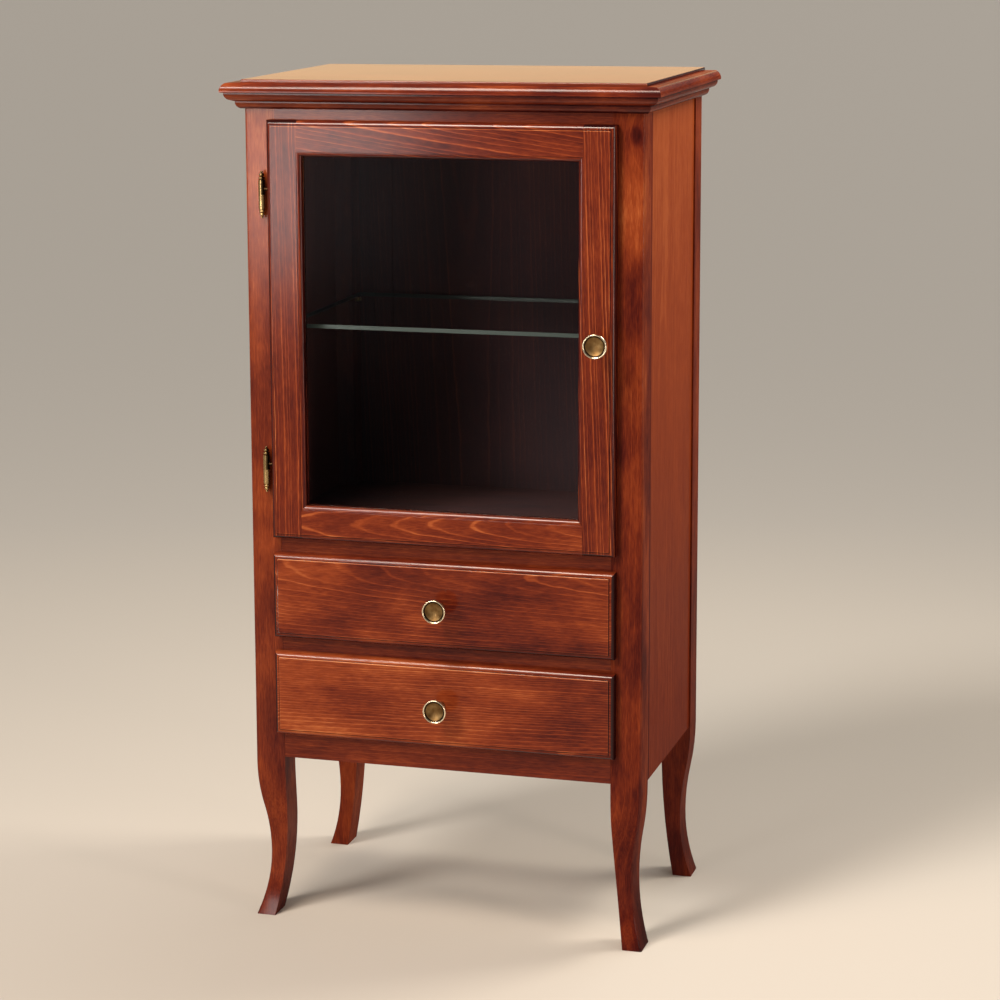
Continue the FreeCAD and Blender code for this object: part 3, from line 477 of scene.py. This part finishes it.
def make_figure():
    """The figure of softwood at a place in its log, whose pith runs along Z."""
    tree = bpy.data.node_groups.new("wood_figure", "ShaderNodeTree")
    for name, kind in (("Place", "NodeSocketVector"), ("Ring Width", "NodeSocketFloat"),
                       ("Knot", "NodeSocketVector")):
        tree.interface.new_socket(name, in_out="INPUT", socket_type=kind)
    for name in ("Late Wood", "Fibre", "Streak", "Cloud", "Mottle", "Knot Shade"):
        tree.interface.new_socket(name, in_out="OUTPUT", socket_type="NodeSocketFloat")
    given = put(tree, "NodeGroupInput").outputs
    place = given["Place"]
    distance = knot_distance(tree, place, given["Knot"])
    core_edge, core = knot_core_shares
    shade = remap(tree, distance, knot_radius * core_edge, knot_radius * core)
    shade = added(tree, shade, remap(tree, distance, knot_halo, knot_radius), knot_halo_share)
    results = {"Late Wood": late_wood(tree, place, knot_swell(tree, distance),
                                      given["Ring Width"]),
               "Knot Shade": shade}
    for name in ("Fibre", "Streak", "Cloud", "Mottle"):
        results[name] = wood_noise(tree, place, name.lower())
    put(tree, "NodeGroupOutput", results)
    return tree


figure = make_figure()


def log_place(tree, node_name, grain, pith, lean, seed):
    """The place in its log of each point of a piece."""
    low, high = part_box(node_name)
    turn = Euler((*lean, 0)).to_matrix() @ grain_turns[grain].to_matrix()
    shift = Vector((*pith, seed)) - turn @ ((low + high) / 2)
    mapping = put(tree, "ShaderNodeMapping", {"Vector": rest_place(tree), "Location": shift,
                                              "Rotation": turn.to_euler()})
    return mapping.outputs[0], turn, shift


def wood_material(node_name, colours, grain, pith, lean, seed, tone=0.0, contrast=1.0,
                  rings=ring_width, knot=None, roughness=0.42, coat=0.3, bump=0.3,
                  lines=0.46, clouds=0.5, painted_light_drift=0.0, shaded_inside=False,
                  corner_shade=False, moulded=None, painted_side_light=0.0, shaded_recesses=(),
                  rounded_coat=edge_coat):
    """A piece's own wood, with its grain, its place in the log and its tone."""
    material, tree, shader = new_material("wood_" + node_name)
    place, turn, shift = log_place(tree, node_name, grain, pith, lean, seed)
    knot_place = turn @ Vector(knot) + shift if knot else no_knot
    out = put(tree, "ShaderNodeGroup", {"Place": place, "Ring Width": rings,
                                        "Knot": knot_place}, node_tree=figure).outputs

    value = added(tree, plain_tone + tone, out["Late Wood"], lines * contrast)
    # Painted light: a piece is lighter towards one end along its grain and darker towards the
    # other
    value = added(tree, value, calc(tree, "SUBTRACT", split(tree, place)[2], seed), painted_light_drift)
    for name, share in (*figure_shares.items(), ("Cloud", clouds)):
        centred = calc(tree, "SUBTRACT", out[name], noise_mean)
        value = added(tree, value, centred, share * contrast)
    value = added(tree, value, out["Knot Shade"], knot_share)
    # Painted shade on a side panel beside the front post
    if corner_shade:
        value = added(tree, value, painted_shade_beside_post(tree), post_shade_share)
    value = added(tree, value, end_grain(tree, grain), end_grain_share)
    # Painted light on the faces turned to the sides
    if painted_side_light:
        value = added(tree, value, end_grain(tree, "X"), painted_side_light)
    # Painted shade in the cornice's recesses
    if shaded_recesses:
        value = added(tree, value, painted_recess_shade(tree, node_name, shaded_recesses), recess_shade_share)
    if moulded:
        # The worn line is partly a painted highlight, and the quirk gets painted shade
        worn, quirk_shade = worn_highlight_and_quirk_shade(tree, moulded)
        value = added(tree, value, worn, worn_highlight_share)
        value = added(tree, value, quirk_shade, quirk_shade_share)
        # Painted shade on the sides and underside of a front's edge
        value = added(tree, value, painted_edge_shade(tree), edge_shade_share)
    colour = ramp(tree, value, colours)
    # Painted shade inside the carcass
    if shaded_inside:
        colour = mixed(tree, painted_inside_shade(tree), colour, inside_shade_colour)
    tree.links.new(colour, shader.inputs["Base Color"])

    rough = added(tree, roughness - fibre_roughness / 2, out["Fibre"], fibre_roughness)
    tree.links.new(rough, shader.inputs["Roughness"])
    height = added(tree, out["Fibre"], out["Late Wood"], ring_relief_share)
    relief = put(tree, "ShaderNodeBump", {"Height": height, "Strength": bump,
                                          "Distance": wood_relief})
    tree.links.new(relief.outputs[0], shader.inputs["Normal"])
    tree.links.new(coat_weight(tree, coat, rounded_coat), shader.inputs["Coat Weight"])
    shader.inputs["Coat Roughness"].default_value = coat_roughness
    shader.inputs["IOR"].default_value = wood_ior
    shader.inputs["Specular IOR Level"].default_value = bare_wood_gloss
    return material


def coat_weight(tree, flat_coat, rounded_coat):
    """The lacquer's gloss: thin on the flats, thicker on rounded edges but for upright ones."""
    across, deep, high = slopes(tree)
    largest = calc(tree, "MAXIMUM", across, calc(tree, "MAXIMUM", deep, high))
    rounded = remap(tree, across, *upright_slopes, rounded_coat,
                    rounded_coat * upright_coat_share)
    return remap(tree, largest, round_slope, flat_slope, rounded, flat_coat)


def end_grain(tree, grain):
    """How far a surface faces an axis, such as that of its fibres, from 0 to 1."""
    return remap(tree, slopes(tree)["XYZ".index(grain)], *end_grain_slopes)


def painted_edge_shade(tree):
    """How far a front's edge turns to the sides or down, where painted shade darkens it."""
    parts = split(tree, rest_normal(tree))
    sideways = remap(tree, calc(tree, "ABSOLUTE", parts[0]), *sideways_shade_slopes)
    return calc(tree, "MAXIMUM", sideways, remap(tree, parts[2], *downward_shade_slopes))


def painted_shade_beside_post(tree):
    """How near a side panel's face is to the front post, where it is darkened by painted shade.
    """
    post_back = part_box("front_right_leg")[1].y
    return remap(tree, split(tree, rest_place(tree))[1], post_back + post_shade_reach, post_back)


def painted_recess_shade(tree, node_name, shaded_recesses):
    """Painted shade where a moulding steps back: at these shares of its height, over so much of
    it.
    """
    low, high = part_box(node_name)
    height = calc(tree, "SUBTRACT", split(tree, rest_place(tree))[2], low.z)
    share = calc(tree, "DIVIDE", height, high.z - low.z)
    total = 0.0
    for centre, reach in shaded_recesses:
        off = calc(tree, "ABSOLUTE", calc(tree, "SUBTRACT", share, centre))
        recess_shade = remap(tree, off, reach, reach * recess_shade_core_share)
        total = calc(tree, "ADD", total, recess_shade)
    return total


def worn_highlight_and_quirk_shade(tree, box):
    """The worn line round a front's raised face, with a painted highlight along the top, and
    the painted shade in its quirk.
    """
    low, high = box
    parts = split(tree, rest_place(tree))
    inset = beyond_any_edge
    for axis in (0, 2):
        for edge, way in ((low[axis], 1), (high[axis], -1)):
            along = calc(tree, "MULTIPLY", calc(tree, "SUBTRACT", parts[axis], edge), way)
            inset = calc(tree, "MINIMUM", inset, along)
    past_face = calc(tree, "SUBTRACT", inset, moulding_width)
    worn = calc(tree, "MULTIPLY", calc(tree, "GREATER_THAN", past_face, -face_slack),
                remap(tree, past_face, worn_highlight_width, worn_highlight_width * worn_highlight_core_share))
    # The worn line is stronger along the upper edge: a painted highlight
    highlight_band = [high.z - moulding_width * share for share in highlight_edge_shares]
    worn = calc(tree, "MULTIPLY", worn,
                remap(tree, parts[2], *highlight_band, worn_away_from_highlight_share, 1.0))
    # Painted shade in the quirk
    quirk_shade = calc(tree, "MULTIPLY", calc(tree, "LESS_THAN", past_face, -face_slack),
                 remap(tree, past_face, -quirk_shade_width * quirk_shade_edge_share, -quirk_shade_width))
    return worn, quirk_shade


def painted_inside_shade(tree):
    """How far the painted shade of the room behind the door covers a surface."""
    parts = split(tree, rest_place(tree))
    panel_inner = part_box("right_side_panel")[0].x
    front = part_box("frieze_rail")[0].y
    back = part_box("back_panel")[1].y
    floor_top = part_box("cupboard_floor")[1].z
    frieze_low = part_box("frieze_rail")[0].z
    inside = calc(tree, "LESS_THAN", calc(tree, "ABSOLUTE", parts[0]),
                  panel_inner + inside_slack)
    for part, low, high in ((parts[1], front + inside_slack, back - inside_slack),
                            (parts[2], floor_top - inside_slack, frieze_low + inside_slack)):
        for bound, operation in ((low, "GREATER_THAN"), (high, "LESS_THAN")):
            inside = calc(tree, "MULTIPLY", inside, calc(tree, operation, part, bound))
    return calc(tree, "MULTIPLY", inside, inside_shade)


def make_edge_group():
    """Joins a piece's faces and marks which of its edges are sharp."""
    tree = bpy.data.node_groups.new("clean_edges", "GeometryNodeTree")
    for way in ("INPUT", "OUTPUT"):
        tree.interface.new_socket("Geometry", in_out=way, socket_type="NodeSocketGeometry")
    given = put(tree, "NodeGroupInput")
    merged = put(tree, "GeometryNodeMergeByDistance",
                 {"Geometry": given.outputs[0], "Distance": weld_distance})
    plain = put(tree, "GeometryNodeRemoveAttribute",
                {"Geometry": merged.outputs[0], "Name": "custom_normal"})
    smooth = put(tree, "GeometryNodeSetShadeSmooth",
                 {"Geometry": plain.outputs[0], "Shade Smooth": True})
    angle = put(tree, "GeometryNodeInputMeshEdgeAngle").outputs["Unsigned Angle"]
    edges = put(tree, "GeometryNodeSetShadeSmooth",
                {"Geometry": smooth.outputs[0], "Shade Smooth": False,
                 "Selection": calc(tree, "GREATER_THAN", angle, sharp_angle)}, domain="EDGE")
    put(tree, "NodeGroupOutput", {"Geometry": edges.outputs[0]})
    return tree


edge_group = make_edge_group()


def ease_edges(node, width=eased_edge):
    """Eases the sawn edges of a piece, so that they catch the light."""
    clean = node.modifiers.new("clean", "NODES")
    clean.node_group = edge_group
    bevel = node.modifiers.new("eased", "BEVEL")
    bevel.width = width
    bevel.segments = eased_segments
    bevel.limit_method = "ANGLE"
    bevel.angle_limit = sharp_angle
    bevel.harden_normals = True
    bevel.use_clamp_overlap = True


def dress(node, material):
    """Gives a node one material."""
    node.data.materials.clear()
    node.data.materials.append(material)


def front_box(name):
    """The box of the moulded front that a piece belongs to, or nothing."""
    if name.endswith("_drawer_front"):
        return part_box(name)
    if name.startswith("door_"):
        boxes = [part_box(part) for part in stained if part.startswith("door_")]
        return (Vector(map(min, *(low for low, high in boxes))),
                Vector(map(max, *(high for low, high in boxes))))
    return None


def dress_stained():
    """The stained and lacquered pieces."""
    for index, (name, look) in enumerate(stained.items()):
        node = frame["nodes"][name]
        dress(node, wood_material(name, stain_ramp, seed=(index + 1) * seed_step,
                                  shaded_inside=name in carcass_inside,
                                  moulded=front_box(name), **look))
        ease_edges(node, post_edge if name.endswith("_leg") else eased_edge)


def pieces_with_slot(slot):
    """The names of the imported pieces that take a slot's finish."""
    return [part["node"] for part in frame["record"]["subparts"]
            if part["material_slot"] == slot]


def dress_inner():
    """Plain sanded softwood: the drawer boxes, the runners and the bearers."""
    for index, name in enumerate(pieces_with_slot("inner_wood")):
        node = frame["nodes"][name]
        low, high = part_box(name)
        size = high - low
        dress(node, wood_material(name, pine_ramp, grain="X" if size.x > size.y else "Y",
                                  seed=(index + 1) * seed_step, **inner_wood))
        ease_edges(node)


def glass_material(name):
    """Clear sheet glass, which mirrors a little. Its edge is grey in front and dark behind, as
    painted shade.
    """
    material, tree, shader = new_material(name)
    tree.nodes.remove(shader)
    clear = put(tree, "ShaderNodeBsdfTransparent", {"Color": glass_clear})
    mirror = put(tree, "ShaderNodeBsdfGlossy", {"Color": glass_mirror,
                                                "Roughness": glass_mirror_roughness})
    fresnel = put(tree, "ShaderNodeFresnel", {"IOR": glass_ior}).outputs[0]
    sheet = put(tree, "ShaderNodeMixShader",
                {0: calc(tree, "MULTIPLY", fresnel, glass_mirror_share),
                 1: clear.outputs[0], 2: mirror.outputs[0]})
    low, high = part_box(name)
    middle = (low + high) / 2
    half = (high - low) / 2
    thin = min(range(3), key=lambda axis: half[axis])
    parts = split(tree, rest_place(tree))
    rim = 0.0
    for axis in range(3):
        if axis != thin:
            offset = calc(tree, "ABSOLUTE", calc(tree, "SUBTRACT", parts[axis], middle[axis]))
            at_edge = calc(tree, "GREATER_THAN", offset, half[axis] - glass_rim)
            rim = calc(tree, "MAXIMUM", rim, at_edge)
    # Painted shade: every rim but the front one is dark
    front = calc(tree, "LESS_THAN", parts[1], low.y + glass_rim)
    tint = mixed(tree, front, glass_rim_painted_shade, glass_front_rims[name])
    edge = put(tree, "ShaderNodeBsdfPrincipled", {"Base Color": tint,
                                                  "Roughness": glass_rim_roughness})
    whole = put(tree, "ShaderNodeMixShader", {0: rim, 1: sheet.outputs[0],
                                              2: edge.outputs[0]})
    tree.links.new(whole.outputs[0], tree.nodes["Material Output"].inputs["Surface"])
    return material


def from_middle(tree, box):
    """The three parts of each point's distance from the middle of a box."""
    low, high = box
    return split(tree, vector_calc(tree, "SUBTRACT", rest_place(tree), (low + high) / 2))


def brass_material(node_name):
    """Antiqued brass turned about Z: dark in its grooves, rubbed bright on its crests."""
    material, tree, shader = new_material("brass_" + node_name)
    low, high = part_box(node_name)
    parts = from_middle(tree, (low, high))
    flat = put(tree, "ShaderNodeCombineXYZ", {0: parts[0], 1: parts[1]}).outputs[0]
    away = vector_calc(tree, "LENGTH", flat, output="Value")
    patch = noise(tree, rest_place(tree), (brass_patches,) * 3, brass_patch_detail)
    worn = added(tree, away, calc(tree, "SUBTRACT", patch, noise_mean), brass_wear)
    crest = [(high.x - low.x) / 2 * share for share in brass_crest_shares]
    colour = ramp(tree, remap(tree, worn, *crest), ((0.0, brass_dark), (1.0, brass_bright)))
    tree.links.new(colour, shader.inputs["Base Color"])
    tree.links.new(remap(tree, patch, *brass_patch_range, *brass_roughness),
                   shader.inputs["Roughness"])
    shader.inputs["Metallic"].default_value = 1.0
    return material


def knob_material(node_name):
    """A brass knob with a bright rim round a dish with an old lacquer."""
    material, tree, shader = new_material("brass_" + node_name)
    low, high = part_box(node_name)
    parts = from_middle(tree, (low, high))
    flat = put(tree, "ShaderNodeCombineXYZ", {0: parts[0], 2: parts[2]}).outputs[0]
    away = vector_calc(tree, "LENGTH", flat, output="Value")
    share = calc(tree, "DIVIDE", away, (high.x - low.x) / 2)
    rim = remap(tree, share, *rim_shares)
    groove = calc(tree, "MULTIPLY", remap(tree, share, *groove_inner_shares),
                  remap(tree, share, *groove_outer_shares))
    patch = noise(tree, rest_place(tree), (dish_patches,) * 3, dish_patch_detail)
    colour = mixed(tree, groove, ramp(tree, patch, dish_ramp), groove_colour)
    tree.links.new(mixed(tree, rim, colour, rim_colour), shader.inputs["Base Color"])
    rough = put(tree, "ShaderNodeMix", {"Factor": rim, 2: dish_roughness,
                                        3: rim_roughness}).outputs[0]
    tree.links.new(added(tree, rough, patch, patch_roughness), shader.inputs["Roughness"])

    # Fine turned lines on the front of the knob
    ahead = calc(tree, "LESS_THAN", parts[1], -(high.y - low.y) * knob_front_share)
    turning = calc(tree, "SINE", calc(tree, "MULTIPLY", away, 2 * math.pi / turning_pitch))
    relief = put(tree, "ShaderNodeBump",
                 {"Height": calc(tree, "MULTIPLY", turning, ahead), "Strength": turning_bump,
                  "Distance": turning_relief})
    tree.links.new(relief.outputs[0], shader.inputs["Normal"])
    shader.inputs["Metallic"].default_value = 1.0
    return material


def steel_material():
    """Zinc-plated steel."""
    material, tree, shader = new_material("steel")
    patch = noise(tree, rest_place(tree), (steel_patches,) * 3, steel_patch_detail)
    tree.links.new(ramp(tree, patch, steel_ramp), shader.inputs["Base Color"])
    tree.links.new(remap(tree, patch, *steel_patch_range, *steel_roughness),
                   shader.inputs["Roughness"])
    shader.inputs["Metallic"].default_value = 1.0
    return material


def plastic_material():
    """Moulded dark brown plastic with a fine grain."""
    material, tree, shader = new_material("catch_plastic")
    grain = noise(tree, rest_place(tree), (plastic_grains,) * 3, plastic_grain_detail)
    tree.links.new(ramp(tree, grain, plastic_ramp), shader.inputs["Base Color"])
    relief = put(tree, "ShaderNodeBump", {"Height": grain, "Strength": plastic_bump,
                                          "Distance": plastic_relief})
    tree.links.new(relief.outputs[0], shader.inputs["Normal"])
    shader.inputs["Roughness"].default_value = plastic_roughness
    return material


def dress_hardware():
    """Glass, brass, steel, plastic and the back board."""
    nodes = frame["nodes"]
    for name in glass_front_rims:
        dress(nodes[name], glass_material(name))
    for name in pieces_with_slot("brass"):
        turned = knob_material if name.endswith("_knob") else brass_material
        dress(nodes[name], turned(name))
    steel = steel_material()
    for name in pieces_with_slot("steel"):
        dress(nodes[name], steel)
    dress(nodes["door_catch"], plastic_material())
    dress(nodes["back_panel"], wood_material("back_panel", stain_ramp, shaded_inside=True,
                                             **back_board))
    ease_edges(nodes["back_panel"])


def make_camera():
    """The camera at the photograph's place."""
    cp, sp = math.cos(camera_pitch), math.sin(camera_pitch)
    cy, sy = math.cos(camera_yaw), math.sin(camera_yaw)
    forward = Vector((-sy * cp, cy * cp, -sp))
    right = Vector((cy, sy, 0))
    up = right.cross(forward)
    cr, sr = math.cos(camera_roll), math.sin(camera_roll)
    across = right * cr + up * sr
    above = up * cr - right * sr
    data = bpy.data.cameras.new("camera")
    data.sensor_width = camera_sensor
    data.lens = camera_lens
    data.shift_x, data.shift_y = camera_shift
    data.clip_end = camera_clip_end
    camera = bpy.data.objects.new("camera", data)
    scene.collection.objects.link(camera)
    turn = Matrix((across, above, -forward)).transposed()
    camera.matrix_world = Matrix.Translation(camera_place) @ turn.to_4x4()
    scene.camera = camera


def aimed(name, data, place, target):
    """A light at a place, turned to a target."""
    light = bpy.data.objects.new(name, data)
    scene.collection.objects.link(light)
    way = Vector(target) - Vector(place)
    light.rotation_euler = way.to_track_quat("-Z", "Y").to_euler()
    light.location = place


def sun(name, place, strength, spread, colour):
    """Light from far away, as soft as its spread."""
    data = bpy.data.lights.new(name, "SUN")
    data.energy = strength
    data.angle = math.radians(spread)
    data.color = colour
    aimed(name, data, place, (0, 0, 0))


def soft_box(name, place, target, size, watts, colour, cone=open_cone):
    """A glowing rectangle, whose light keeps within its cone."""
    data = bpy.data.lights.new(name, "AREA")
    data.shape = "RECTANGLE"
    data.size, data.size_y = size
    data.energy = watts
    data.spread = math.radians(cone)
    data.color = colour
    aimed(name, data, place, target)


def make_stage():
    """A pale floor and soft light."""
    corners = [(-1, -1), (1, -1), (1, 1), (-1, 1)]
    mesh = bpy.data.meshes.new("floor")
    mesh.from_pydata([(x * floor_reach, y * floor_reach, 0) for x, y in corners], [],
                     [(0, 1, 2, 3)])
    floor = bpy.data.objects.new("floor", mesh)
    material, tree, shader = new_material("floor")
    shader.inputs["Base Color"].default_value = (*floor_colour, 1)
    shader.inputs["Roughness"].default_value = floor_roughness
    shader.inputs["Specular IOR Level"].default_value = floor_gloss
    floor.data.materials.append(material)
    scene.collection.objects.link(floor)

    world = bpy.data.worlds.new("world")
    scene.world = world
    world.use_nodes = True
    background = world.node_tree.nodes["Background"]
    background.inputs["Color"].default_value = (*world_colour, 1)
    background.inputs["Strength"].default_value = world_strength
    for name, look in suns.items():
        sun(name, **look)
    for name, look in soft_boxes.items():
        soft_box(name, **look)


make_camera()
make_stage()
dress_stained()
dress_inner()
dress_hardware()
scene.view_settings.view_transform = "Standard"
